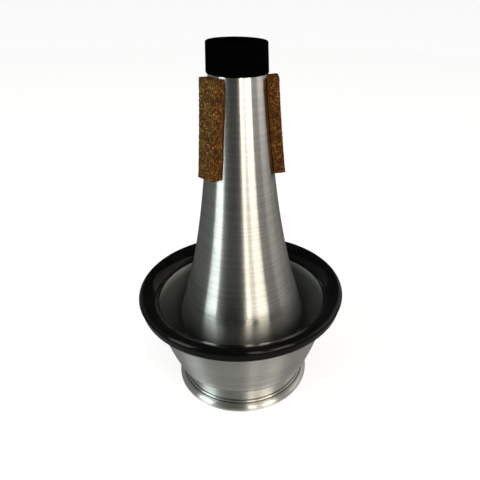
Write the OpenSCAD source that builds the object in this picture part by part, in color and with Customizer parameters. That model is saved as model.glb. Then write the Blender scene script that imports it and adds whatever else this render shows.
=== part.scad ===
// Trumpet cup mute. A spun aluminium cone and a spun aluminium cup are seamed
// together at the foot over a recessed end plate. A rubber sleeve slips on the
// throat, a rubber cushion rings the cup, and three cork strips hold the mute
// in the bell. The axis is Z, the foot stands on z = 0 and the throat is up.
// A path is a list of [radius, height] points down the outer face of a piece.

/* [Spun cone] */
// Height of the ledge at the top of the cone, where the sleeve sits
throat_z = 167; // [140:1:190]
// Outer radius of the cone just under that ledge
throat_r = 12.7; // [11:0.1:15]
// Outer radius that the flare reaches where it turns into the shoulder
flare_r = 32.6; // [30:0.1:33.4]
// Height at which the flare ends and the shoulder begins
flare_end_z = 46.5; // [42:0.5:60]
// Bend of the exponential flare: 0.5 is almost a straight cone, 3 a bell
flare_bend = 1.69; // [0.5:0.01:3]
// Radius of the shoulder's curve, where the cone turns under
shoulder_arc = 16.5; // [12:0.5:20]
// How far the neck under the shoulder is drawn in from its widest point
neck_in = 6.2; // [6:0.1:7.5]
// Radius of the curve from the shoulder into the neck
neck_arc = 8; // [5:1:10]
// Radius of the curve from the neck out to the flange
flange_arc = 2.6; // [2:0.1:2.8]
// Wall thickness of the cone
cone_wall = 1.0; // [0.7:0.1:1.2]
// Width of the ledge, from the cone in to the spigot that carries the sleeve
ledge_w = 0.8; // [0.4:0.1:1.2]
// Height of the spigot above the ledge
spigot_h = 7; // [4:0.5:8]

/* [Spun cup] */
// Outer radius of the cup at the centre of its rolled rim
cup_rim_r = 47.2; // [45:0.1:50]
// Height of the wall, from the crease up to the centre of the rolled rim
cup_wall_h = 37.9; // [34:0.1:44]
// How far the wall bulges out from a straight line
cup_bulge = 1.3; // [0.2:0.1:2]
// Radius of the rolled rim's bead
rim_bead = 1.4; // [1.1:0.1:1.6]
// How far the crease at the foot of the wall stands out past the collar
crease_step = 4.1; // [3.5:0.1:5]
// Radius of the bends at the crease and at the top of the collar
crease_arc = 1.5; // [1.2:0.1:1.8]
// Lean of the undercut between those bends, in degrees from upright
undercut = 70; // [60:1:80]
// Height of the collar, from the seam up to the undercut
collar_h = 7.8; // [6:0.1:9]
// How far the collar is drawn in between its edges
collar_waist = 0.25; // [0.1:0.05:0.4]
// Wall thickness of the cup
cup_wall = 1.0; // [0.7:0.1:1.1]

/* [Foot seam and end plate] */
// Outer radius of the foot, at the end plate's rim
foot_r = 36.7; // [36:0.1:38]
// Height of the foot, from the floor to the plate's top, where the flanges lie
foot_h = 4.1; // [3.8:0.1:6]
// Radius of the curve from that top over to the rim
rim_arc = 2.6; // [2:0.1:2.7]
// How far in from the rim the cone's flange ends, as a thin bead on the plate
flange_in = 2.7; // [2.6:0.1:3]
// How far in from that bead the cup's collar stands
collar_step = 0.75; // [0.5:0.05:1]
// Film of sealant between the flanges in the seam
seam_film = 0.05; // [0.02:0.01:0.1]
// Width of the cup's flange in the seam
seam_w = 3.1; // [2.5:0.1:3.2]
// Radius of the rolled hem that the mute stands on
hem_bead = 1.1; // [0.9:0.1:1.4]
// How much of the hem is pressed flat
hem_flat = 0.2; // [0.1:0.05:0.4]
// Radius of the plate's lowered middle
panel_r = 26; // [20:0.5:27]
// How far the middle lies below the plate's top
panel_drop = 2; // [1:0.1:2.4]
// Radius of the stiffening ring pressed into the middle
ring_r = 14; // [8:0.5:16]
// Width of that ring
ring_w = 5; // [3:0.5:6]
// Height of that ring
ring_h = 0.7; // [0.3:0.1:1]
// Wall thickness of the end plate
plate_wall = 1.0; // [0.7:0.1:1.1]
// Outer radius of the bend from the collar in to the cup's flange
bend_arc = 1.3; // [1.2:0.1:1.6]

/* [Rim cushion] */
// How far the cushion reaches out past the wall at the rolled rim
cushion_out = 6.8; // [5:0.1:9]
// Height of the cushion's crest above the centre of the rolled rim
crest_rise = 4.5; // [4:0.1:6]
// Depth of the cushion's lower face below the centre of the rolled rim
lip_drop = 2.5; // [2:0.1:3]
// Radius of the crest's outer curve
crest_arc = 2.6; // [2:0.1:3]
// Radius of the curve that slopes down to the inner lip
slope_arc = 10.2; // [9.5:0.1:12]
// How far that curve leans over the crest, in degrees
crest_lean = 16.8; // [14:0.1:18]
// How far the outer face draws in towards its lower edge
skirt_taper = 1; // [0:0.1:1.5]
// Radius of the rounding on the lower edges
edge_round = 0.5; // [0.2:0.1:0.8]
// Clearance between the rubber and the rolled rim
groove_gap = 0.1; // [0.02:0.01:0.2]

/* [Throat sleeve] */
// Length of the sleeve
sleeve_len = 12.4; // [10:0.1:16]
// Wall thickness of the sleeve at its lower edge
sleeve_wall = 1.55; // [1:0.05:2.5]
// How far the sleeve draws in from its lower edge to its top
sleeve_taper = 0.4; // [0:0.1:0.8]
// Width of the inner lip over the end of the spigot
lip_w = 1.55; // [0.8:0.05:2.5]
// Gap between the end of the spigot and that lip
lip_gap = 0.3; // [0.1:0.1:1]
// Radius of the rounding on the sleeve's top edge
sleeve_round = 0.6; // [0.5:0.1:1.3]
// Running clearance of the sleeve on the spigot
sleeve_fit = 0.05; // [0.01:0.01:0.1]

/* [Corks] */
// Length of a cork strip
cork_len = 42.8; // [30:0.1:60]
// Width of a cork strip
cork_w = 9.5; // [6:0.5:12]
// Thickness of a cork strip
cork_t = 4.8; // [3:0.1:7]
// Gap between the sleeve's lower edge and the top of the left cork strip
cork_top_gap = 0.7; // [0.6:0.1:2]
// How much lower than the left cork strip the right one is glued
cork_right_drop = 0.8; // [0:0.1:2]
// How much lower than the left cork strip the back one is glued
cork_back_drop = 0.3; // [0:0.1:2]
// Film of glue between a cork strip and the cone
glue_film = 0.05; // [0.02:0.01:0.1]
// Direction of the left cork strip, in degrees round from the front
cork_left_angle = -46; // [-60:1:-30]
// Direction of the right cork strip
cork_right_angle = 90; // [60:1:110]
// Direction of the back cork strip
cork_back_angle = 200; // [180:1:220]

/* [Hidden] */
$fn = 96;

// Points on each curve of a path
curve_n = 12;
// Points down the flare
flare_n = 40;
// Steps down the outer face of a cork strip
cork_n = 8;
// Overshoot of a cutter past what it cuts
past = 1;
// Depth of a cork strip's blank behind the cone's face, before it is hollowed
cork_sink = 3;

// Points along an arc about centre c, from angle a0 to angle a1
function arc(c, r, a0, a1) =
    [for (i = [0:curve_n]) let (a = a0 + (a1 - a0) * i / curve_n) c + r * [cos(a), sin(a)]];

// Points along the arc from p to q that stands off their chord by sag, to its left
function bow(p, q, sag) =
    let (half = norm(q - p) / 2,
         r = (half * half + sag * sag) / (2 * sag),
         along = (q - p) / (2 * half),
         left = [-along[1], along[0]],
         spread = asin(half / r))
    [for (i = [0:curve_n]) let (a = spread * (2 * i / curve_n - 1))
        (p + q) / 2 + r * sin(a) * along + (r * cos(a) - r + sag) * left];

// Unit normal to the right of the step from p to q
function right_of(p, q) = let (d = (q - p) / norm(q - p)) [d[1], -d[0]];

// A path moved to its right by t, with mitred corners
function moved(path, t) =
    let (last = len(path) - 1)
    [for (i = [0:last])
        let (a = right_of(path[max(i, 1) - 1], path[max(i, 1)]),
             b = right_of(path[min(i, last - 1)], path[min(i, last - 1) + 1]))
        path[i] + t * (a + b) / (1 + a * b)];

function reversed(path) = [for (i = [len(path) - 1:-1:0]) path[i]];

// A path without its first point, to join it to one that ends there
function rest_of(path) = [for (i = [1:len(path) - 1]) path[i]];

// Outline of a sheet of even thickness, with its outer face on the path
module sheet_outline(path, wall)
    polygon(concat(path, reversed(moved(path, wall))));

// Outer radius of the flare at height z
flare_len = throat_z - flare_end_z;
function flare_at(z) =
    throat_r + (flare_r - throat_r) * (exp(flare_bend * (throat_z - z) / flare_len) - 1)
        / (exp(flare_bend) - 1);

// Points down the flare from height z0 to height z1, standing off it by out
function flare_path(z0, z1, n, out = 0) =
    [for (i = [0:n]) let (z = z0 + (z1 - z0) * i / n) [flare_at(z) + out, z]];

// Heights of the lower faces of the cone's and the cup's flanges in the seam
cone_flange_z = foot_h + seam_film;
cup_flange_z = cone_flange_z + cone_wall + seam_film;

// The shoulder's curve starts in line with the flare's lower end
flare_slope = (flare_r - throat_r) * flare_bend / flare_len / (1 - exp(-flare_bend));
shoulder_from = atan(flare_slope);
shoulder_c = [flare_r, flare_end_z] - shoulder_arc * [cos(shoulder_from), sin(shoulder_from)];
neck_r = shoulder_c[0] + shoulder_arc - neck_in;
neck_turn = acos(1 - neck_in / (shoulder_arc + neck_arc));
neck_c = shoulder_c + (shoulder_arc + neck_arc) * [cos(neck_turn), -sin(neck_turn)];
flange_c = [neck_r + flange_arc, cone_flange_z + cone_wall + flange_arc];
flange_r = foot_r - flange_in;

spigot_r = throat_r - ledge_w;
spigot_top_z = throat_z + spigot_h;
cone_path = concat(
    [[spigot_r, spigot_top_z], [spigot_r, throat_z]],
    flare_path(throat_z, flare_end_z, flare_n),
    rest_of(arc(shoulder_c, shoulder_arc, shoulder_from, -neck_turn)),
    rest_of(arc(neck_c, neck_arc, 180 - neck_turn, 180)),
    arc(flange_c, flange_arc, 180, 270),
    [[flange_r, flange_c[1] - flange_arc]]);

module body_cone()
    color("silver") rotate_extrude() sheet_outline(cone_path, cone_wall);

collar_r = flange_r - collar_step;
collar_foot = [collar_r, cup_flange_z + bend_arc];
collar_top = [collar_r, cup_flange_z + collar_h];
// The sheet turns in under the wall, runs in at the undercut's lean and turns down again
lean_out = [cos(undercut), -sin(undercut)];
crease_r = collar_r + crease_step;
wall_chord = norm([cup_rim_r - crease_r, cup_wall_h]);
wall_lean = atan((cup_rim_r - crease_r) / cup_wall_h) + 2 * atan(2 * cup_bulge / wall_chord);
under_c = collar_top + [crease_arc, 0];
crease_c_r = crease_r - crease_arc * cos(wall_lean);
under_run = (crease_c_r - under_c[0] + 2 * crease_arc * lean_out[0]) / sin(undercut);
crease_c = [crease_c_r, under_c[1] - 2 * crease_arc * lean_out[1] + under_run * cos(undercut)];
cup_crease = crease_c + crease_arc * [cos(wall_lean), -sin(wall_lean)];
cup_rim = [cup_rim_r, cup_crease[1] + cup_wall_h];
cup_path = concat(
    bow(cup_rim, cup_crease, cup_bulge),
    rest_of(arc(crease_c, crease_arc, -wall_lean, -undercut)),
    arc(under_c, crease_arc, 180 - undercut, 180),
    rest_of(bow(collar_top, collar_foot, -collar_waist)),
    rest_of(arc(collar_foot - [bend_arc, 0], bend_arc, 0, -90)),
    [[collar_r - seam_w, cup_flange_z]]);
// The wall's inner face runs on into the rolled rim, which turns outwards
rim_c = [moved(cup_path, cup_wall)[0][0] + rim_bead, cup_rim[1]];

module cup_shell()
    color("silver") {
        rotate_extrude() sheet_outline(cup_path, cup_wall);
        rotate_extrude() translate(rim_c) circle(rim_bead);
    }

panel_z = foot_h - panel_drop;
ring_in = [ring_r - ring_w / 2, panel_z];
ring_out = [ring_r + ring_w / 2, panel_z];
plate_path = concat(
    [[0, panel_z]],
    bow(ring_in, ring_out, ring_h),
    [[panel_r, panel_z], [panel_r + panel_drop, foot_h]],
    arc([foot_r - rim_arc, foot_h - rim_arc], rim_arc, 90, 0),
    [[foot_r, hem_bead - hem_flat]]);

module end_plate()
    color("silver") {
        rotate_extrude() sheet_outline(plate_path, plate_wall);
        // The rolled hem, pressed flat where the mute stands
        rotate_extrude() intersection() {
            translate([foot_r - hem_bead, hem_bead - hem_flat]) circle(hem_bead);
            translate([foot_r - 2 * hem_bead, 0]) square(2 * hem_bead);
        }
    }

cushion_r = cup_rim_r + cushion_out;
crest_c = [cushion_r - crest_arc, cup_rim[1] + crest_rise - crest_arc];
slope_c = crest_c + (slope_arc - crest_arc) * [sin(crest_lean), -cos(crest_lean)];
skirt_c = [cushion_r - skirt_taper - edge_round, cup_rim[1] - lip_drop + edge_round];
// The inner lip's rounding touches the slope's curve from inside
lip_rise = skirt_c[1] - slope_c[1];
lip_c = [slope_c[0] - sqrt(pow(slope_arc - edge_round, 2) - pow(lip_rise, 2)), skirt_c[1]];
lip_angle = 180 - asin(lip_rise / (slope_arc - edge_round));

module rim_cushion()
    color("#1c1c1e") rotate_extrude() difference() {
        polygon(concat(
            arc(skirt_c, edge_round, -90, 0),
            arc(crest_c, crest_arc, 0, 90 + crest_lean),
            rest_of(arc(slope_c, slope_arc, 90 + crest_lean, lip_angle)),
            rest_of(arc(lip_c, edge_round, lip_angle, 270))));
        // The groove that snaps over the cup's rolled rim
        sheet_outline(moved(cup_path, -groove_gap), cup_wall + 2 * groove_gap);
        translate(rim_c) circle(rim_bead + groove_gap);
    }

socket_r = spigot_r + sleeve_fit;
socket_z = spigot_top_z + lip_gap;
sleeve_foot_r = socket_r + sleeve_wall;
sleeve_top = [sleeve_foot_r - sleeve_taper, throat_z + sleeve_len];
sound_hole_r = socket_r - lip_w;

module throat_sleeve()
    color("#141415") rotate_extrude() polygon(concat(
        [[socket_r, throat_z], [sleeve_foot_r, throat_z]],
        arc(sleeve_top - [sleeve_round, sleeve_round], sleeve_round, 0, 90),
        [[sound_hole_r, sleeve_top[1]], [sound_hole_r, socket_z], [socket_r, socket_z]]));

// A strip bent along the flare, with square ends, hollowed behind to lie on the cone
module cork_strip(angle, drop = 0) {
    top_z = throat_z - cork_top_gap - drop;
    run = flare_path(top_z, top_z - cork_len, cork_n, glue_film);
    color("#a9713c") rotate(angle - 90) difference() {
        rotate([90, 0, 0]) linear_extrude(cork_w, center = true)
            polygon(concat(moved(run, -cork_t), reversed(moved(run, cork_sink))));
        rotate_extrude() polygon(concat(
            [[0, top_z + past]],
            flare_path(top_z + past, top_z - cork_len - past, flare_n, glue_film),
            [[0, top_z - cork_len - past]]));
    }
}

module cork_strip_left() cork_strip(cork_left_angle);
module cork_strip_right() cork_strip(cork_right_angle, cork_right_drop);
module cork_strip_back() cork_strip(cork_back_angle, cork_back_drop);

body_cone();
cup_shell();
end_plate();
rim_cushion();
throat_sleeve();
cork_strip_left();
cork_strip_right();
cork_strip_back();
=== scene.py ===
import math

import bpy
from mathutils import Matrix, Vector


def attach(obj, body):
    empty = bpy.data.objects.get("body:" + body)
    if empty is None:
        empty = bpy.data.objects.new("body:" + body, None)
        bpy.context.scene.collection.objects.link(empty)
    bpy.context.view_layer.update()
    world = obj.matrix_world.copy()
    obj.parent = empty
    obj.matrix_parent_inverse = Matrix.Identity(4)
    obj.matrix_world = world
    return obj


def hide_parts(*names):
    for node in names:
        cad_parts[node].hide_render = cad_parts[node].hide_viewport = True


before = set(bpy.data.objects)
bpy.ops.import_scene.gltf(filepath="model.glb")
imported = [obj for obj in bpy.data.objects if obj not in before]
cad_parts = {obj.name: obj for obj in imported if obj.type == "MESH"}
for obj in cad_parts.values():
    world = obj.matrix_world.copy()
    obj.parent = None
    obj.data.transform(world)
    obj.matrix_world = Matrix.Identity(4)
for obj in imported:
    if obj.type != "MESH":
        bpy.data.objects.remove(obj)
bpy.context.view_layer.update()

# Body cone: one sheet of aluminium, 1 mm thick, spun on a lathe. A foot flange turns up into a
# neck and a rounded shoulder, an exponential flare closes up to the throat, and a spigot steps
# in there to take the rubber sleeve. The satin rings come from the cloth held to it as it turned.
sheet = 1.0
throat_z, throat_r = 167.0, 12.7
flare_end_z, flare_r, flare_bend = 46.5, 32.6, 1.69
shoulder_arc, neck_in, neck_arc, flange_arc = 16.5, 6.2, 8.0, 2.6
spigot_r, spigot_top_z = 11.9, 174.0
cone_flange_z, cone_flange_r = 4.15, 34.0
cut_edge = 0.22
lathe_steps, weld_gap = 288, 1e-6


class Wire:
    """An output of a node. Sums on it add the tree's own Math nodes."""

    def __init__(self, tree, socket):
        self.tree, self.socket = tree, socket

    def math(self, operation, *others, first=None):
        node = self.tree.nodes.new("ShaderNodeMath")
        node.operation = operation
        for place, value in enumerate((self if first is None else first, *others)):
            if isinstance(value, Wire):
                self.tree.links.new(value.socket, node.inputs[place])
            else:
                node.inputs[place].default_value = value
        return Wire(self.tree, node.outputs[0])

    def __add__(self, other):
        return self.math("ADD", other)

    __radd__ = __add__

    def __sub__(self, other):
        return self.math("SUBTRACT", other)

    def __rsub__(self, other):
        return self.math("SUBTRACT", self, first=other)

    def __mul__(self, other):
        return self.math("MULTIPLY", other)

    __rmul__ = __mul__

    def __truediv__(self, other):
        return self.math("DIVIDE", other)

    def __rtruediv__(self, other):
        return self.math("DIVIDE", self, first=other)

    def __pow__(self, other):
        return self.math("POWER", other)

    def __rpow__(self, other):
        return self.math("POWER", self, first=other)

    def __neg__(self):
        return self.math("MULTIPLY", -1)

    def clamp(self, low=0.0, high=1.0):
        return self.math("MINIMUM", high).math("MAXIMUM", low)

    def step(self, low, high):
        """0 below low, 1 above high, and a smooth rise between."""
        t = ((self - low) / (high - low)).clamp()
        return t * t * (3 - 2 * t)


class Bench:
    """A node tree under construction."""

    def __init__(self, tree):
        self.tree = tree

    def add(self, kind, settings=None, values=None):
        """A node of that kind: its settings first, then the values or wires of its sockets."""
        node = self.tree.nodes.new(kind)
        for name, value in (settings or {}).items():
            if name == "stops":
                ramp = node.color_ramp
                while len(ramp.elements) < len(value):
                    ramp.elements.new(0.5)
                for element, (place, colour) in zip(ramp.elements, value):
                    element.position, element.color = place, (*colour, 1.0)
            else:
                setattr(node, name, value)
        for name, value in (values or {}).items():
            socket = node.inputs[name]
            if isinstance(value, Wire):
                self.tree.links.new(value.socket, socket)
            else:
                socket.default_value = value
        return node

    def wire(self, kind, settings=None, values=None, output=0):
        return Wire(self.tree, self.add(kind, settings, values).outputs[output])

    def mix(self, amount, low, high):
        """A colour between low and high."""
        return self.wire("ShaderNodeMix", {"data_type": "RGBA"}, {0: amount, 6: low, 7: high}, 2)


def rule_tree(name, inputs, outputs):
    """An empty Geometry Nodes tree with named inputs, a bench for it, and its inputs as wires."""
    tree = bpy.data.node_groups.new(name, "GeometryNodeTree")
    for side, sockets in (("INPUT", inputs), ("OUTPUT", outputs)):
        for label, kind, *value in sockets:
            socket = tree.interface.new_socket(label, in_out=side, socket_type=f"NodeSocket{kind}")
            if value:
                socket.default_value = value[0]
    bench = Bench(tree)
    source = bench.add("NodeGroupInput")
    given = {label: Wire(tree, source.outputs[label]) for label, *rest in inputs}
    return tree, bench, given


# The flare as a rule: at a share t of its height, counted down from the throat, its radius grows
# as (e^(bend t) - 1) / (e^bend - 1), and a second skin stands off it by the sheet's thickness.
flare_sizes = [
    ("Throat radius", "Float", throat_r / 1000),
    ("Flare radius", "Float", flare_r / 1000),
    ("Flare bend", "Float", flare_bend),
    ("Throat height", "Float", throat_z / 1000),
    ("Flare foot height", "Float", flare_end_z / 1000),
]
flare_rule, bench, given = rule_tree(
    "flare rule",
    [("Share", "Float"), ("Inset", "Float"), *flare_sizes],
    [("Radius", "Float"), ("Height", "Float")],
)
grown = (math.e ** (given["Flare bend"] * given["Share"]) - 1) / (math.e ** given["Flare bend"] - 1)
spread = given["Flare radius"] - given["Throat radius"]
drop = given["Throat height"] - given["Flare foot height"]
slope = (
    spread * given["Flare bend"] * math.e ** (given["Flare bend"] * given["Share"])
    / (math.e ** given["Flare bend"] - 1) / drop
)
facing = (1 + slope * slope).math("SQRT")
bench.add("NodeGroupOutput", values={
    "Radius": given["Throat radius"] + spread * grown - given["Inset"] / facing,
    "Height": given["Throat height"] - drop * given["Share"] - given["Inset"] * slope / facing,
})

# Turning: the half section, a closed line in the XZ plane, is swept round the axis.
turning, bench, given = rule_tree(
    "turning",
    [("Section", "Geometry"), ("Segments", "Int", lathe_steps), ("Material", "Material")],
    [("Geometry", "Geometry")],
)
points = bench.wire("GeometryNodeAttributeDomainSize", {"component": "MESH"}, {0: given["Section"]})
rows = points + 1
skin = bench.wire("GeometryNodeMeshGrid", values={
    "Size X": 1.0, "Size Y": 1.0, "Vertices X": given["Segments"] + 1, "Vertices Y": rows})
place = bench.wire("GeometryNodeInputIndex")
turn = ((place + 0.5) / rows).math("FLOOR")
row = (place - turn * rows).math("MODULO", points)
on_line = bench.add("ShaderNodeSeparateXYZ", values={0: bench.wire(
    "GeometryNodeSampleIndex", {"data_type": "FLOAT_VECTOR"},
    {0: given["Section"], "Value": bench.wire("GeometryNodeInputPosition"), "Index": row})})
radius, height = Wire(turning, on_line.outputs[0]), Wire(turning, on_line.outputs[2])
angle = turn / given["Segments"] * math.tau
swept = bench.wire("GeometryNodeSetPosition", values={
    "Geometry": skin,
    "Position": bench.wire("ShaderNodeCombineXYZ", values={
        0: radius * angle.math("COSINE"), 1: radius * angle.math("SINE"), 2: height})})
closed = bench.wire("GeometryNodeMergeByDistance", values={"Geometry": swept, "Distance": weld_gap})
smooth = bench.wire("GeometryNodeSetShadeSmooth", values={"Geometry": closed, "Shade Smooth": True})
whole = bench.wire("GeometryNodeRealizeInstances", values={"Geometry": smooth})
bench.add("NodeGroupOutput", values={0: bench.wire(
    "GeometryNodeSetMaterial", values={"Geometry": whole, "Material": given["Material"]})})

# The spun cone: the points of its section that lie on the flare are set by the rule, then turned.
spinning, bench, given = rule_tree(
    "spun cone",
    [("Section", "Geometry"), *flare_sizes, ("Segments", "Int", lathe_steps),
     ("Material", "Material")],
    [("Geometry", "Geometry")],
)


def read_float(bench, name):
    return bench.wire("GeometryNodeInputNamedAttribute", {"data_type": "FLOAT"}, {"Name": name})


ruled = bench.add("GeometryNodeGroup", {"node_tree": flare_rule}, {
    "Share": read_float(bench, "share"), "Inset": read_float(bench, "inset"),
    **{label: given[label] for label, *rest in flare_sizes}})
set_out = bench.wire("GeometryNodeSetPosition", values={
    "Geometry": given["Section"],
    "Selection": bench.wire(
        "FunctionNodeCompare", {"data_type": "FLOAT", "operation": "GREATER_THAN"},
        {0: read_float(bench, "on_flare"), 1: 0.5}),
    "Position": bench.wire("ShaderNodeCombineXYZ", values={
        0: Wire(spinning, ruled.outputs["Radius"]), 2: Wire(spinning, ruled.outputs["Height"])})})
bench.add("NodeGroupOutput", values={0: bench.wire(
    "GeometryNodeGroup", {"node_tree": turning},
    {"Section": set_out, "Segments": given["Segments"], "Material": given["Material"]})})


def arc(centre, radius, start, end, steps=16):
    """Points (r, z) along an arc, its angles in degrees."""
    turns = [math.radians(start + (end - start) * i / steps) for i in range(steps + 1)]
    return [(centre[0] + radius * math.cos(a), centre[1] + radius * math.sin(a)) for a in turns]


def moved(path, distance):
    """A path moved to its right, with mitred corners."""
    steps = [(Vector(b[:2]) - Vector(a[:2])).normalized() for a, b in zip(path, path[1:])]
    rights = [Vector((d.y, -d.x)) for d in steps]
    out = []
    for i, point in enumerate(path):
        a, b = rights[max(i - 1, 0)], rights[min(i, len(rights) - 1)]
        out.append((*(Vector(point[:2]) + distance * (a + b) / (1 + a.dot(b))), *point[2:]))
    return out


def eased(outline, radius, least=25, steps=4, most=0.45):
    """A closed outline, anticlockwise, with each corner sharper than `least` degrees rounded.

    A rounding takes at most a share `most` of the edges beside it.
    """
    area = sum(a[0] * b[1] - b[0] * a[1] for a, b in zip(outline, outline[1:] + outline[:1]))
    outline = outline if area > 0 else outline[::-1]
    out = []
    for i, point in enumerate(outline):
        before, here, after = (Vector(outline[k % len(outline)][:2]) for k in (i - 1, i, i + 1))
        back, on = before - here, after - here
        turn = math.pi - back.angle(on)
        if here.x < 1e-6 or turn < math.radians(least):
            out.append(point)
            continue
        reach = min(radius * math.tan(turn / 2), most * back.length, most * on.length)
        start, end = here + back.normalized() * reach, here + on.normalized() * reach
        if back.length > 4 * reach:
            out.append(tuple(start + back.normalized() * reach))
        for k in range(steps + 1):
            t = k / steps
            out.append(tuple((1 - t) ** 2 * start + 2 * t * (1 - t) * here + t * t * end))
        if on.length > 4 * reach:
            out.append(tuple(end + on.normalized() * reach))
    return out


def made(name, tree, material, section=None, **sizes):
    """The plain mesh that a tree makes: from a half section in millimetres, or from its sizes.

    A point of the section is (r, z), or (r, z, share, inset) where it lies on the flare.
    """
    mesh = bpy.data.meshes.new(name)
    if section:
        count = len(section)
        mesh.from_pydata([(p[0] / 1000, 0, p[1] / 1000) for p in section],
                         [(i, (i + 1) % count) for i in range(count)], [])
        for label, values in (
            ("on_flare", [float(len(p) > 2 and p[2] >= 0) for p in section]),
            ("share", [p[2] if len(p) > 2 else 0.0 for p in section]),
            ("inset", [p[3] / 1000 if len(p) > 3 else 0.0 for p in section]),
        ):
            mesh.attributes.new(label, "FLOAT", "POINT").data.foreach_set("value", values)
    draft = bpy.data.objects.new(name + "_draft", mesh)
    bpy.context.scene.collection.objects.link(draft)
    rule = draft.modifiers.new("rule", "NODES")
    rule.node_group = tree
    for item in tree.interface.items_tree:
        if item.in_out == "INPUT" and item.name in sizes:
            rule[item.identifier] = sizes[item.name]
        if item.in_out == "INPUT" and item.name == "Material":
            rule[item.identifier] = material
    graph = bpy.context.evaluated_depsgraph_get()
    result = bpy.data.meshes.new_from_object(draft.evaluated_get(graph))
    bpy.data.objects.remove(draft)
    for label in ("on_flare", "share", "inset"):
        if label in result.attributes:
            result.attributes.remove(result.attributes[label])
    piece = bpy.data.objects.new(name, result)
    piece.data.name = name
    bpy.context.scene.collection.objects.link(piece)
    return piece


def finish_of(name):
    """A new material, a bench for it and its Principled shader."""
    material = bpy.data.materials.new(name)
    material.use_nodes = True
    return material, Bench(material.node_tree), material.node_tree.nodes["Principled BSDF"]


def plug(bench, node, **wires):
    for name, wire in wires.items():
        bench.tree.links.new(wire.socket, node.inputs[name.replace("_", " ")])


# Spun aluminium: the light slides along the rings left by the lathe, so it is spread up and down
# the sheet and stays narrow round it. The rings vary in depth, and the sheet is a little uneven.
aluminium, bench, shader = finish_of("spun aluminium")
metal = {"Metallic": 1.0, "Anisotropic": 1.0, "Anisotropic Rotation": 0.25}
for label, value in metal.items():
    shader.inputs[label].default_value = value
spot = bench.add("ShaderNodeSeparateXYZ", values={
    0: bench.wire("ShaderNodeTexCoord", output=3)})
x, y, z = (Wire(bench.tree, spot.outputs[i]) for i in range(3))
out_from_axis = (x * x + y * y + 1e-9) ** 0.5


def rings(round_scale, ring_scale, detail, rough, shift=0.0, lean=1.4):
    """Noise drawn out round the axis: fine across the rings and long along them.

    It leans outwards, so that the rings come finer on the cone than on the wall of the cup.
    """
    return bench.wire("ShaderNodeTexNoise", values={
        "Vector": bench.wire("ShaderNodeCombineXYZ", values={
            0: x / out_from_axis * round_scale,
            1: y / out_from_axis * round_scale,
            2: z * ring_scale - out_from_axis * (lean * ring_scale) + shift}),
        "Scale": 1.0, "Detail": detail, "Roughness": rough})


def above(low, high):
    """0 below a height and 1 above a second one, in millimetres."""
    return z.step(low / 1000, high / 1000)


def close_to(radius, height, reach, depth):
    """A ring of that depth of colour, which falls to 0 at its reach, in millimetres."""
    across, up = out_from_axis - radius / 1000, z - height / 1000
    far = (across * across + up * up) ** 0.5
    return depth * (1 - far.step(0.3 * reach / 1000, reach / 1000))


fine = rings(round_scale=0.5, ring_scale=3200, detail=2.0, rough=0.6)
broad = rings(round_scale=0.35, ring_scale=900, detail=1.0, rough=0.5, shift=7.0)
cloudy = bench.wire("ShaderNodeTexNoise", values={
    "Vector": bench.wire("ShaderNodeTexCoord", output=3), "Scale": 38.0, "Detail": 2.0})
tone = (0.25 * fine + 0.6 * broad + 0.15 * cloudy).step(0.38, 0.62)
grey_ring, bright_ring = (0.625, 0.625, 0.61, 1), (0.725, 0.725, 0.71, 1)
polished = bench.mix(tone, grey_ring, bright_ring)
# The inner sides are left as spun and rougher, and their colour holds painted shade in the depth of
# the cup and painted light at its mouth
facing = bench.add("ShaderNodeSeparateXYZ", values={
    0: bench.wire("ShaderNodeNewGeometry", output=1)})
turned_in = -(Wire(bench.tree, facing.outputs[0]) * x + Wire(bench.tree, facing.outputs[1]) * y)
inside = (turned_in / out_from_axis).step(0.1, 0.4)
deep_painted_shade, mouth_painted_light = (0.29, 0.295, 0.28, 1), (0.98, 0.99, 0.96, 1)
inside_painted_light_and_shade = bench.mix(above(44.5, 52.5), deep_painted_shade, mouth_painted_light)
# Polishing black is left in the two lines of the foot seam; the crease and the collar's top under
# it are darkened with painted shade
cup_seam, cone_seam = (33.1, 5.5, 0.55, 1.0), (34.15, 4.2, 0.45, 1.0)
crease_painted_shade, collar_painted_shade = (37.3, 16.0, 1.5, 0.55), (33.1, 12.6, 2.2, 0.5)
black = close_to(*cup_seam)
for line in (cone_seam, crease_painted_shade, collar_painted_shade):
    black = black.math("MAXIMUM", close_to(*line))
seam_black_and_painted_shade = (0.08, 0.08, 0.075, 1)
colour = bench.mix(black, bench.mix(inside, polished, inside_painted_light_and_shade), seam_black_and_painted_shade)
relief = bench.wire("ShaderNodeBump", values={
    "Strength": 0.08, "Distance": 0.00004, "Height": fine + 0.05 * broad})
# The narrow collar is brushed by hand, and use has dulled the foot below the seam
brushed = above(5.0, 6.0) * (1 - above(13.0, 15.5)) * (1 - inside)
dulled = 1 - above(4.8, 5.6)
plug(bench, shader, Base_Color=colour, Normal=relief,
     Roughness=0.16 + 0.06 * fine + 0.015 * broad + 0.12 * inside + 0.12 * dulled)
# The grooves' own sides throw a part of the light further up and down than their polished crests
haze = bench.add("ShaderNodeBsdfPrincipled", values={
    **metal, "Base Color": colour, "Normal": relief,
    "Roughness": 0.36 + 0.08 * fine + 0.06 * inside + 0.10 * brushed + 0.06 * dulled})
haze_share = 0.21 + 0.26 * above(45, 95) + 0.02 * broad + 0.42 * brushed + 0.18 * dulled
both = bench.wire("ShaderNodeMixShader", values={
    0: haze_share, 1: Wire(bench.tree, shader.outputs[0]), 2: Wire(bench.tree, haze.outputs[0])})
plug(bench, bench.tree.nodes["Material Output"], Surface=both)

flare_steps = 96
grow = math.exp(flare_bend) - 1
flare_len = throat_z - flare_end_z


def flare_at(height):
    """Outer radius of the flare at a height."""
    share = (throat_z - height) / flare_len
    return throat_r + (flare_r - throat_r) * (math.exp(flare_bend * share) - 1) / grow


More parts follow.
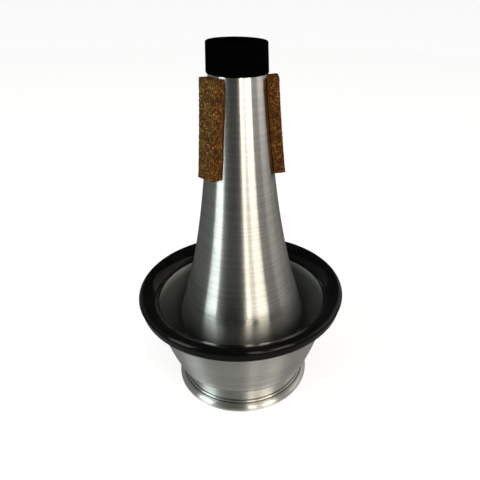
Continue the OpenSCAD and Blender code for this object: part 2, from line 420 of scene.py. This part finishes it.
# The shoulder's curve leaves the flare at the flare's own slope, and the neck's curve touches it
shoulder_from = math.degrees(math.atan(
    (flare_r - throat_r) * flare_bend / flare_len / (1 - math.exp(-flare_bend))))
shoulder_c = (flare_r - shoulder_arc * math.cos(math.radians(shoulder_from)),
              flare_end_z - shoulder_arc * math.sin(math.radians(shoulder_from)))
neck_r = shoulder_c[0] + shoulder_arc - neck_in
neck_turn = math.degrees(math.acos(1 - neck_in / (shoulder_arc + neck_arc)))
neck_c = (shoulder_c[0] + (shoulder_arc + neck_arc) * math.cos(math.radians(neck_turn)),
          shoulder_c[1] - (shoulder_arc + neck_arc) * math.sin(math.radians(neck_turn)))
flange_c = (neck_r + flange_arc, cone_flange_z + sheet + flange_arc)
outer = [(spigot_r, spigot_top_z), (spigot_r, throat_z)]
outer += [(flare_at(throat_z - flare_len * i / flare_steps), throat_z - flare_len * i / flare_steps,
           i / flare_steps, 0.0) for i in range(flare_steps + 1)]
outer += arc(shoulder_c, shoulder_arc, shoulder_from, -neck_turn, 28)[1:]
outer += arc(neck_c, neck_arc, 180 - neck_turn, 180, 10)[1:]
outer += arc(flange_c, flange_arc, 180, 270, 12)
outer += [(cone_flange_r - sheet / 2, cone_flange_z + sheet)]
inner = [(*p[:3], sheet) if len(p) > 2 else p for p in moved(outer, sheet)]
bead = arc((cone_flange_r - sheet / 2, cone_flange_z + sheet / 2), sheet / 2, 90, -90, 12)[1:-1]
cone = made("spun_cone", spinning, aluminium, eased(outer + bead + inner[::-1], cut_edge))
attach(cone, "mute_body")
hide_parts("body_cone")

# Cup: a second spun sheet, open upwards round the cone. Its wall swells a little and turns under at
# a crease to a narrow waisted collar, whose foot lies on the cone's flange. The rim is rolled
# outwards, so that the rubber can grip it.
cup_rim, cup_crease, cup_bulge = (47.2, 53.967), (37.35, 16.067), 1.3
crease_arc, undercut = 1.5, 70
collar_r, collar_top_z, collar_waist = 33.25, 13.0, 0.55
cup_flange_z, foot_bend, foot_reach = 5.2, 1.3, 3.1
rim_bead, roll_end = 1.4, -112


def bow(p, q, sag, steps=24):
    """Points along the arc from p to q that stands off their chord by sag, to its left."""
    p, q = Vector(p), Vector(q)
    half = (q - p).length / 2
    radius = (half * half + sag * sag) / (2 * sag)
    along = (q - p) / (2 * half)
    left = Vector((-along.y, along.x))
    spread = math.asin(half / radius)
    turns = [spread * (2 * i / steps - 1) for i in range(steps + 1)]
    return [tuple((p + q) / 2 + radius * math.sin(a) * along
                  + (radius * math.cos(a) - radius + sag) * left) for a in turns]


chord = Vector(cup_rim) - Vector(cup_crease)
wall_lean = math.atan2(chord.x, chord.y) + 2 * math.atan(2 * cup_bulge / chord.length)
crease_c = (cup_crease[0] - crease_arc * math.cos(wall_lean),
            cup_crease[1] + crease_arc * math.sin(wall_lean))
cup_path = bow(cup_rim, cup_crease, cup_bulge, 40)
cup_path += arc(crease_c, crease_arc, -math.degrees(wall_lean), -undercut, 10)[1:]
cup_path += arc((collar_r + crease_arc, collar_top_z), crease_arc, 180 - undercut, 180, 12)
foot_bend_z = cup_flange_z + foot_bend
cup_path += bow((collar_r, collar_top_z), (collar_r, foot_bend_z), -collar_waist, 16)[1:]
cup_path += arc((collar_r - foot_bend, foot_bend_z), foot_bend, 0, -90, 10)[1:]
cup_path += [(collar_r - foot_reach, cup_flange_z)]
cup_inner = moved(cup_path, sheet)
bead_c = (cup_inner[0][0] + rim_bead, cup_rim[1])
rolled = arc(bead_c, rim_bead, 180, roll_end, 28)
# The end of the roll takes the place of the wall's first few points
clear_of_roll = 3
cup = made("spun_cup", turning, aluminium,
           eased(cup_inner[:0:-1] + rolled + cup_path[clear_of_roll:], cut_edge, least=32))
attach(cup, "mute_body")
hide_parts("cup_shell")

# End plate: a third spun sheet that closes the foot. A recessed panel with one raised ring stops
# it from ringing, and its rim turns down to a low round foot, rolled at the edge and pressed flat
# where the mute stands.
panel_z, panel_r, panel_drop = 2.1, 26.0, 2.0
ring_r, ring_w, ring_h = 14.0, 5.0, 0.7
foot_r, foot_top_z, rim_arc = 36.7, 4.1, 2.6
hem, hem_flat, hem_gap = 1.1, 0.2, 0.08
plate_edge = 0.35

plate_path = [(0.0, panel_z)]
plate_path += bow((ring_r - ring_w / 2, panel_z), (ring_r + ring_w / 2, panel_z), ring_h, 14)
plate_path += [(panel_r, panel_z), (panel_r + panel_drop, foot_top_z)]
plate_path += arc((foot_r - rim_arc, foot_top_z - rim_arc), rim_arc, 90, 0, 20)
plate_path += [(foot_r, hem - hem_flat)]
# The hem is a bead rolled inwards, and its lowest part is pressed flat
hem_c = (foot_r - hem, hem - hem_flat)
flat_at = math.degrees(math.asin((hem - hem_flat) / hem))
roll = arc(hem_c, hem, 0, -flat_at, 8)[1:] + arc(hem_c, hem, flat_at - 180, -270, 20)
under = [p for p in moved(plate_path, sheet)[::-1] if math.dist(p, hem_c) > hem + hem_gap]
plate = made("end_plate_sheet", turning, aluminium,
             eased(plate_path + roll + under, plate_edge, least=24))
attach(plate, "mute_body")
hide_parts("end_plate")

# Rim cushion: a ring of black rubber, moulded solid, that snaps over the cup's rolled rim and
# keeps the metal off the bell. A narrow crest, a long slope inwards, a plain skirt outside.
crest_c, crest_arc = (51.4, cup_rim[1] + 1.9), 2.6
slope_arc, crest_lean = 10.2, 16.8
skirt_c, edge_round = (52.5, cup_rim[1] - 2.0), 0.5
groove_gap = 0.1
grip_in, grip_out = 0.4, 1.6
mouth_in, mouth_out = 0.2, 0.05
moulded_edge = 0.15

# The slope's arc leaves the crest's arc at its lean, and ends in a small round lip
lean = math.radians(crest_lean)
slope_c = (crest_c[0] + (slope_arc - crest_arc) * math.sin(lean),
           crest_c[1] - (slope_arc - crest_arc) * math.cos(lean))
lip_rise = skirt_c[1] - slope_c[1]
lip_c = (slope_c[0] - math.sqrt((slope_arc - edge_round) ** 2 - lip_rise ** 2), skirt_c[1])
lip_angle = 180 - math.degrees(math.asin(lip_rise / (slope_arc - edge_round)))
under_z = skirt_c[1] - edge_round
# The groove follows the cup's own wall and roll, a gap away from them
groove_in = [p for p in moved(cup_inner, groove_gap) if under_z < p[1] < cup_rim[1] - grip_in]
groove_out = [p for p in moved(cup_path, -groove_gap) if under_z < p[1] < cup_rim[1] - grip_out]
groove = [(groove_in[-1][0] - mouth_in, under_z), *groove_in[::-1]]
groove += arc(bead_c, rim_bead + groove_gap, 180, roll_end, 24)
groove += [*groove_out, (groove_out[-1][0] - mouth_out, under_z)]
ring_line = arc(skirt_c, edge_round, -90, 0, 6)
ring_line += arc(crest_c, crest_arc, 0, 90 + crest_lean, 20)
ring_line += arc(slope_c, slope_arc, 90 + crest_lean, lip_angle, 30)[1:]
ring_line += arc(lip_c, edge_round, lip_angle, 270, 8)[1:]

rubber, bench, shader = finish_of("moulded rubber")
shader.inputs["Specular IOR Level"].default_value = 0.14
at = bench.wire("ShaderNodeTexCoord", output=3)
grain = bench.wire("ShaderNodeTexNoise", values={
    "Vector": at, "Scale": 2600.0, "Detail": 2.0, "Roughness": 0.6})
handling = bench.wire("ShaderNodeTexNoise", values={
    "Vector": at, "Scale": 55.0, "Detail": 4.0, "Roughness": 0.6})
bloom = handling.step(0.42, 0.72)
jet, bloomed = (0.0014, 0.0014, 0.0014, 1), (0.0036, 0.0036, 0.0037, 1)
plug(bench, shader,
     Base_Color=bench.mix(bloom, jet, bloomed),
     Roughness=0.10 + 0.08 * bloom + 0.04 * grain,
     Normal=bench.wire("ShaderNodeBump", values={
         "Strength": 0.10, "Distance": 0.00003, "Height": grain + 3 * handling}))

cushion = made("rim_ring", turning, rubber, eased(ring_line + groove, moulded_edge, least=40))
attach(cushion, "mute_body")
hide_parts("rim_cushion")

# Throat sleeve: a short black rubber tube pushed over the cone's spigot until it lies on the
# ledge. It keeps the throat's edge off the bell, and sound comes out through its inner lip.
socket_r, socket_z = 11.95, 174.3
sleeve_foot_r, sleeve_top, sleeve_round = 13.5, (13.1, 179.4), 0.6
sound_hole_r, sleeve_edge = 10.4, 0.3

sleeve_line = [(socket_r, throat_z), (sleeve_foot_r, throat_z)]
round_c = (sleeve_top[0] - sleeve_round, sleeve_top[1] - sleeve_round)
sleeve_line += arc(round_c, sleeve_round, 0, 90, 12)
sleeve_line += [(sound_hole_r, sleeve_top[1]), (sound_hole_r, socket_z), (socket_r, socket_z)]

soft_black, bench, shader = finish_of("sleeve rubber")
shader.inputs["Specular IOR Level"].default_value = 0.004
at = bench.wire("ShaderNodeTexCoord", output=3)
grain = bench.wire("ShaderNodeTexNoise", values={
    "Vector": at, "Scale": 1800.0, "Detail": 3.0, "Roughness": 0.65})
scuff = bench.wire("ShaderNodeTexNoise", values={
    "Vector": at, "Scale": 120.0, "Detail": 4.0, "Roughness": 0.6})
matt_black, scuffed = (0.0003, 0.0003, 0.0003, 1), (0.0009, 0.0009, 0.0009, 1)
plug(bench, shader,
     Base_Color=bench.mix(scuff.step(0.45, 0.75), matt_black, scuffed),
     Roughness=0.62 + 0.12 * grain,
     Normal=bench.wire("ShaderNodeBump", values={
         "Strength": 0.2, "Distance": 0.00004, "Height": grain + 2 * scuff}))

sleeve = made("throat_tube", turning, soft_black, eased(sleeve_line, sleeve_edge, least=40))
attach(sleeve, "sleeve")
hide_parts("throat_sleeve")

# Cork strips: three slips cut from a sheet of pressed cork granules and glued along the flare.
# They hold the mute in the bell and keep it clear of the bell's wall, so that air can pass.
cork_len, cork_w, cork_t, glue = 42.8, 9.5, 4.8, 0.05
edge_wear, granule_relief, granule_sink = 0.15, 0.22, 0.1
cork_grid = {"Vertices X": 27, "Vertices Y": 17, "Vertices Z": 121}
# Degrees from the front of the cone, and how far the strip's top lies below the ledge
cork_places = {"left": (-46, 0.7), "right": (90, 1.5), "back": (200, 1.0)}
first_seed = 3

corking, bench, given = rule_tree(
    "cork strip",
    [*flare_sizes, ("Length", "Float", cork_len / 1000), ("Width", "Float", cork_w / 1000),
     ("Thickness", "Float", cork_t / 1000), ("Top gap", "Float"),
     ("Stand-off", "Float", glue / 1000), ("Edge wear", "Float", edge_wear / 1000),
     ("Granule relief", "Float", granule_relief / 1000), ("Angle", "Float"),
     ("Seed", "Int", first_seed), ("Material", "Material")],
    [("Geometry", "Geometry")],
)
# A slip of the sheet: its edges are worn round, and its faces are lumpy with granules. Each slip
# reads its own part of the noise.
block = bench.wire("GeometryNodeMeshCube", values={
    "Size": bench.wire("ShaderNodeCombineXYZ", values={
        0: given["Width"], 1: given["Thickness"], 2: given["Length"]}),
    **cork_grid})
spot = bench.add("ShaderNodeSeparateXYZ", values={0: bench.wire("GeometryNodeInputPosition")})
parts = [Wire(corking, spot.outputs[i]) for i in range(3)]
halves = [given[n] * 0.5 - given["Edge wear"] for n in ("Width", "Thickness", "Length")]
held = [p.math("MINIMUM", h).math("MAXIMUM", -h) for p, h in zip(parts, halves)]
off = [p - h for p, h in zip(parts, held)]
reach = (off[0] * off[0] + off[1] * off[1] + off[2] * off[2] + 1e-14) ** 0.5
worn = [h + o / reach * given["Edge wear"] for h, o in zip(held, off)]
away = [o / reach for o in off]
sample = bench.wire("ShaderNodeCombineXYZ", values={
    0: worn[0] + given["Seed"] * 0.05, 1: worn[1], 2: worn[2] + given["Angle"] * 0.01})
lumps = bench.wire("ShaderNodeTexVoronoi", {"feature": "F1"}, {
    "Vector": sample, "Scale": 900.0, "Randomness": 1.0})
nibble = bench.wire("ShaderNodeTexNoise", values={
    "Vector": sample, "Scale": 420.0, "Detail": 3.0, "Roughness": 0.6})
lift = 0.55 - 0.9 * lumps + 1.6 * (nibble - 0.5)
relief = given["Granule relief"] * lift - granule_sink / 1000
across, through, along = (w + a * relief for w, a in zip(worn, away))
# It is bent to the flare: its back follows the cone's skin, and its face stands a thickness off
share = (given["Top gap"] + given["Length"] * 0.5 - along) / (
    given["Throat height"] - given["Flare foot height"])
skins = [bench.add("GeometryNodeGroup", {"node_tree": flare_rule}, {
    "Share": share, "Inset": inset, **{label: given[label] for label, *rest in flare_sizes}})
    for inset in (-given["Stand-off"], -given["Stand-off"] - given["Thickness"])]
(back_r, back_z), (face_r, face_z) = (
    [Wire(corking, skin.outputs[i]) for i in ("Radius", "Height")] for skin in skins)
hollow = (back_r * back_r - across * across).math("SQRT")
out = hollow + (face_r - hollow) * (through / given["Thickness"] + 0.5)
glued = bench.wire("GeometryNodeSetPosition", values={
    "Geometry": block,
    "Position": bench.wire("ShaderNodeCombineXYZ", values={
        0: out * given["Angle"].math("SINE") + across * given["Angle"].math("COSINE"),
        1: across * given["Angle"].math("SINE") - out * given["Angle"].math("COSINE"),
        2: back_z + (face_z - back_z) * (out - back_r) / (face_r - back_r)})})
smooth = bench.wire("GeometryNodeSetShadeSmooth", values={"Geometry": glued, "Shade Smooth": True})
whole = bench.wire("GeometryNodeRealizeInstances", values={"Geometry": smooth})
bench.add("NodeGroupOutput", values={0: bench.wire(
    "GeometryNodeSetMaterial", values={"Geometry": whole, "Material": given["Material"]})})

cork, bench, shader = finish_of("pressed cork")
shader.inputs["Specular IOR Level"].default_value = 0.12
at = bench.wire("ShaderNodeTexCoord", output=3)
bent = bench.wire("ShaderNodeTexNoise", values={
    "Vector": at, "Scale": 700.0, "Detail": 2.0}, output=1)
warped = bench.wire("ShaderNodeVectorMath", {"operation": "MULTIPLY_ADD"}, {
    0: bent, 1: (0.0007, 0.0007, 0.0007), 2: at})
cells = bench.add("ShaderNodeTexVoronoi", {"feature": "F1"}, {
    "Vector": warped, "Scale": 1150.0, "Randomness": 1.0})
gaps = bench.wire("ShaderNodeTexVoronoi", {"feature": "DISTANCE_TO_EDGE"}, {
    "Vector": warped, "Scale": 1150.0, "Randomness": 1.0})
pick = bench.add("ShaderNodeSeparateColor", values={
    0: Wire(cork.node_tree, cells.outputs["Color"])})
shade = Wire(cork.node_tree, pick.outputs[0])
bark = bench.wire("ShaderNodeTexNoise", values={
    "Vector": at, "Scale": 2400.0, "Detail": 3.0, "Roughness": 0.7})
granule_browns = [
    (0.0, (0.026, 0.0105, 0.0016)), (0.35, (0.068, 0.031, 0.0055)),
    (0.7, (0.125, 0.064, 0.0120)), (1.0, (0.27, 0.17, 0.040))]
binder_brown, fresh_cut = (0.014, 0.0055, 0.001, 1), (0.98, 0.73, 0.44, 1)
granule = bench.wire("ShaderNodeValToRGB", {"stops": granule_browns}, {
    0: (0.75 * shade + 0.45 * (bark - 0.3)).clamp()})
binder = gaps.step(0.02, 0.16)
# The cut sides are redder than the outer face, which light and handling have dulled
spot = bench.add("ShaderNodeSeparateXYZ", values={0: at})
facing = bench.add("ShaderNodeSeparateXYZ", values={
    0: bench.wire("ShaderNodeNewGeometry", output=1)})
x, y, nx, ny = (Wire(bench.tree, n.outputs[i]) for n in (spot, facing) for i in (0, 1))
cut = 1 - ((nx * x + ny * y) / (x * x + y * y + 1e-9) ** 0.5).math("ABSOLUTE").step(0.5, 0.8)
fresh = bench.wire("ShaderNodeMix", {"data_type": "RGBA", "blend_type": "MULTIPLY"}, {
    0: cut, 6: granule, 7: fresh_cut}, 2)
plug(bench, shader,
     Base_Color=bench.mix(binder, binder_brown, fresh),
     Roughness=0.9 - 0.1 * shade,
     Normal=bench.wire("ShaderNodeBump", values={
         "Strength": 0.6, "Distance": 0.0002, "Height": 0.7 * binder + 0.5 * bark + 0.3 * shade}))
for seed, (side, (degrees, top_gap)) in enumerate(cork_places.items(), first_seed):
    strip = made(f"cork_slip_{side}", corking, cork, Angle=math.radians(degrees), Seed=seed,
                 **{"Top gap": top_gap / 1000})
    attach(strip, "mute_body")
    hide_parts(f"cork_strip_{side}")

# Studio: a pale seamless floor, a warm tall soft lamp in panes to the right of the camera, a cool
# one to the left, and a dim one overhead. Dark cloths hang round the set, as they do for bright
# metal; they are seen by reflections alone, so the metal stays dark between the lamps.
floor_reach = 15


def shown_rays(bench):
    """1 on the rays that show the background: to the camera, off metal and through glass."""
    path = bench.add("ShaderNodeLightPath")
    camera, glossy, through = (Wire(bench.tree, path.outputs[f"Is {ray} Ray"])
                               for ray in ("Camera", "Glossy", "Transmission"))
    return camera.math("MAXIMUM", glossy).math("MAXIMUM", through)


floor_mesh = bpy.data.meshes.new("floor")
corners = [(i * floor_reach, j * floor_reach, 0) for i, j in ((-1, -1), (1, -1), (1, 1), (-1, 1))]
floor_mesh.from_pydata(corners, [], [(0, 1, 2, 3)])
floor = bpy.data.objects.new("floor", floor_mesh)
bpy.context.scene.collection.objects.link(floor)
paper, bench, shader = finish_of("seamless paper")
fibre = bench.wire("ShaderNodeTexNoise", values={
    "Vector": bench.wire("ShaderNodeTexCoord", output=3), "Scale": 6.0, "Detail": 2.0})
straight = shown_rays(bench)
tint = bench.mix(fibre, (0.84, 0.84, 0.84, 1), (0.86, 0.86, 0.86, 1))
# Where the background shows, most of the paper's white is its own, and its colour holds shadows
shadow_white, own_white = (0.30, 0.30, 0.30, 1), (0.70, 0.70, 0.70, 1)
plug(bench, shader,
     Base_Color=bench.mix(straight, tint, shadow_white),
     Emission_Color=bench.mix(straight, (0, 0, 0, 1), own_white))
shader.inputs["Emission Strength"].default_value = 1.0
shader.inputs["Roughness"].default_value = 0.95
shader.inputs["Specular IOR Level"].default_value = 0.1
floor_mesh.materials.append(paper)

lamp_distance = 1.0


def lamp(name, azimuth, width, level, colour, lights=True, height=0.5, tall=1.0):
    """A soft lamp. Its azimuth is in degrees from the camera's side, towards the right.

    Its width, height above the floor and tallness are in metres, and its level is its brightness.
    """
    light = bpy.data.lights.new(name, "AREA")
    light.shape, light.size, light.size_y = "RECTANGLE", width, tall
    light.energy, light.color = level * math.pi * width * tall, colour
    turn = math.radians(azimuth)
    spot = Vector((math.sin(turn) * lamp_distance, -math.cos(turn) * lamp_distance, height))
    item = bpy.data.objects.new(name, light)
    item.matrix_world = Matrix.Translation(spot) @ (
        (spot - Vector((0, 0, height))).to_track_quat("Z", "Y").to_matrix().to_4x4())
    item.visible_camera = False
    item.visible_diffuse = lights
    bpy.context.scene.collection.objects.link(item)


warm, cool = (1.0, 0.92, 0.78), (0.90, 1.0, 0.94)
lamp("warm lamp, low pane", 30.0, 0.76, 4.4, warm, height=0.11, tall=0.22)
lamp("warm lamp, left pane", 11.5, 0.2, 6.6, warm, height=0.91, tall=1.38)
lamp("warm lamp, right pane", 39.0, 0.36, 5.6, warm, height=0.91, tall=1.38)
lamp("cool lamp", -62, 0.42, 4.8, cool, height=0.8, tall=1.6)
# Dim panels beside and behind the mute: the metal mirrors them, and they light nothing matt
glow_width, warm_glow, cool_glow = 0.425, (1.0, 0.95, 0.87), (0.92, 1.0, 0.97)
for azimuth, level in ((65, 0.62), (89, 1.3), (113, 0.9), (137, 0.6)):
    lamp(f"right glow {azimuth}", azimuth, glow_width, level, warm_glow, lights=False)
for azimuth, level in ((-88, 0.26), (-112, 0.26), (-136, 0.26)):
    lamp(f"left glow {azimuth}", azimuth, glow_width, level, cool_glow, lights=False)

ceiling = bpy.data.lights.new("ceiling light", "SUN")
ceiling.energy, ceiling.angle = 1.3, math.radians(110)
overhead = bpy.data.objects.new("ceiling light", ceiling)
overhead.visible_glossy = False
bpy.context.scene.collection.objects.link(overhead)


def cloth(name, tone, hoops, steps=96):
    """A cloth of one tone, turned round the axis through hoops (radius, height), in metres."""
    mesh = bpy.data.meshes.new(name)
    verts = [(r * math.cos(math.tau * k / steps), r * math.sin(math.tau * k / steps), h)
             for r, h in hoops for k in range(steps)]
    faces = [(i * steps + k, i * steps + (k + 1) % steps, (i + 1) * steps + (k + 1) % steps,
              (i + 1) * steps + k) for i in range(len(hoops) - 1) for k in range(steps)]
    mesh.from_pydata(verts, [], faces)
    item = bpy.data.objects.new(name, mesh)
    bpy.context.scene.collection.objects.link(item)
    stuff, bench, shader = finish_of(name)
    shader.inputs["Base Color"].default_value = (tone, tone, tone, 1)
    shader.inputs["Roughness"].default_value = 1.0
    shader.inputs["Specular IOR Level"].default_value = 0.0
    mesh.materials.append(stuff)
    for ray in ("visible_camera", "visible_diffuse", "visible_transmission",
                "visible_volume_scatter", "visible_shadow"):
        setattr(item, ray, False)


# A grey cloth lies round the foot, a black one lies and hangs round it, and a dark one overhead
cloth_lift, grey_from, grey_to, dome_r = 0.0004, 0.0375, 0.15, 1.3
dome_steps, ceiling_from = 12, 8
dome_turns = [math.radians(90 * i / dome_steps) for i in range(dome_steps + 1)]
dome = [(dome_r * math.cos(a), dome_r * math.sin(a) + cloth_lift) for a in dome_turns]
cloth("grey cloth", 0.232, [(grey_from, cloth_lift), (grey_to, cloth_lift)])
cloth("black cloth", 0.05, [(grey_to, cloth_lift)] + dome[:ceiling_from + 1])
cloth("ceiling cloth", 0.12, dome[ceiling_from:])

# The world is white to the camera and to reflections, though here the cloths stand before it in
# every reflection, and it lights the mute with less
world = bpy.data.worlds.new("studio")
bpy.context.scene.world = world
world.use_nodes = True
bench = Bench(world.node_tree)
sky = world.node_tree.nodes["Background"]
sky.inputs["Color"].default_value = (1.0, 1.0, 1.0, 1)
fill, shown = 0.32, 1.0
plug(bench, sky, Strength=fill + (shown - fill) * shown_rays(bench))

# The camera stands where the photograph was taken from. The picture is a part of a wider one that
# was cut out beside its middle, so the frame is shifted.
picture_px, focal_px, shift_px = 480, 482, (-36.27, 8.45)
camera_at = (0, -0.21514, 0.20617)
heading, pitch, tilt = (math.radians(a) for a in (-4.835, 30.385, 1.248))

view = bpy.data.cameras.new("camera")
view.sensor_width = 36.0
view.lens = view.sensor_width * focal_px / picture_px
view.shift_x, view.shift_y = (shift / picture_px for shift in shift_px)
camera = bpy.data.objects.new("camera", view)
bpy.context.scene.collection.objects.link(camera)
camera.matrix_world = (
    Matrix.Translation(camera_at)
    @ Matrix.Rotation(heading, 4, "Z")
    @ Matrix.Rotation(math.pi / 2 - pitch, 4, "X")
    @ Matrix.Rotation(tilt, 4, "Z"))
bpy.context.scene.camera = camera
bpy.context.scene.view_settings.view_transform = "Standard"
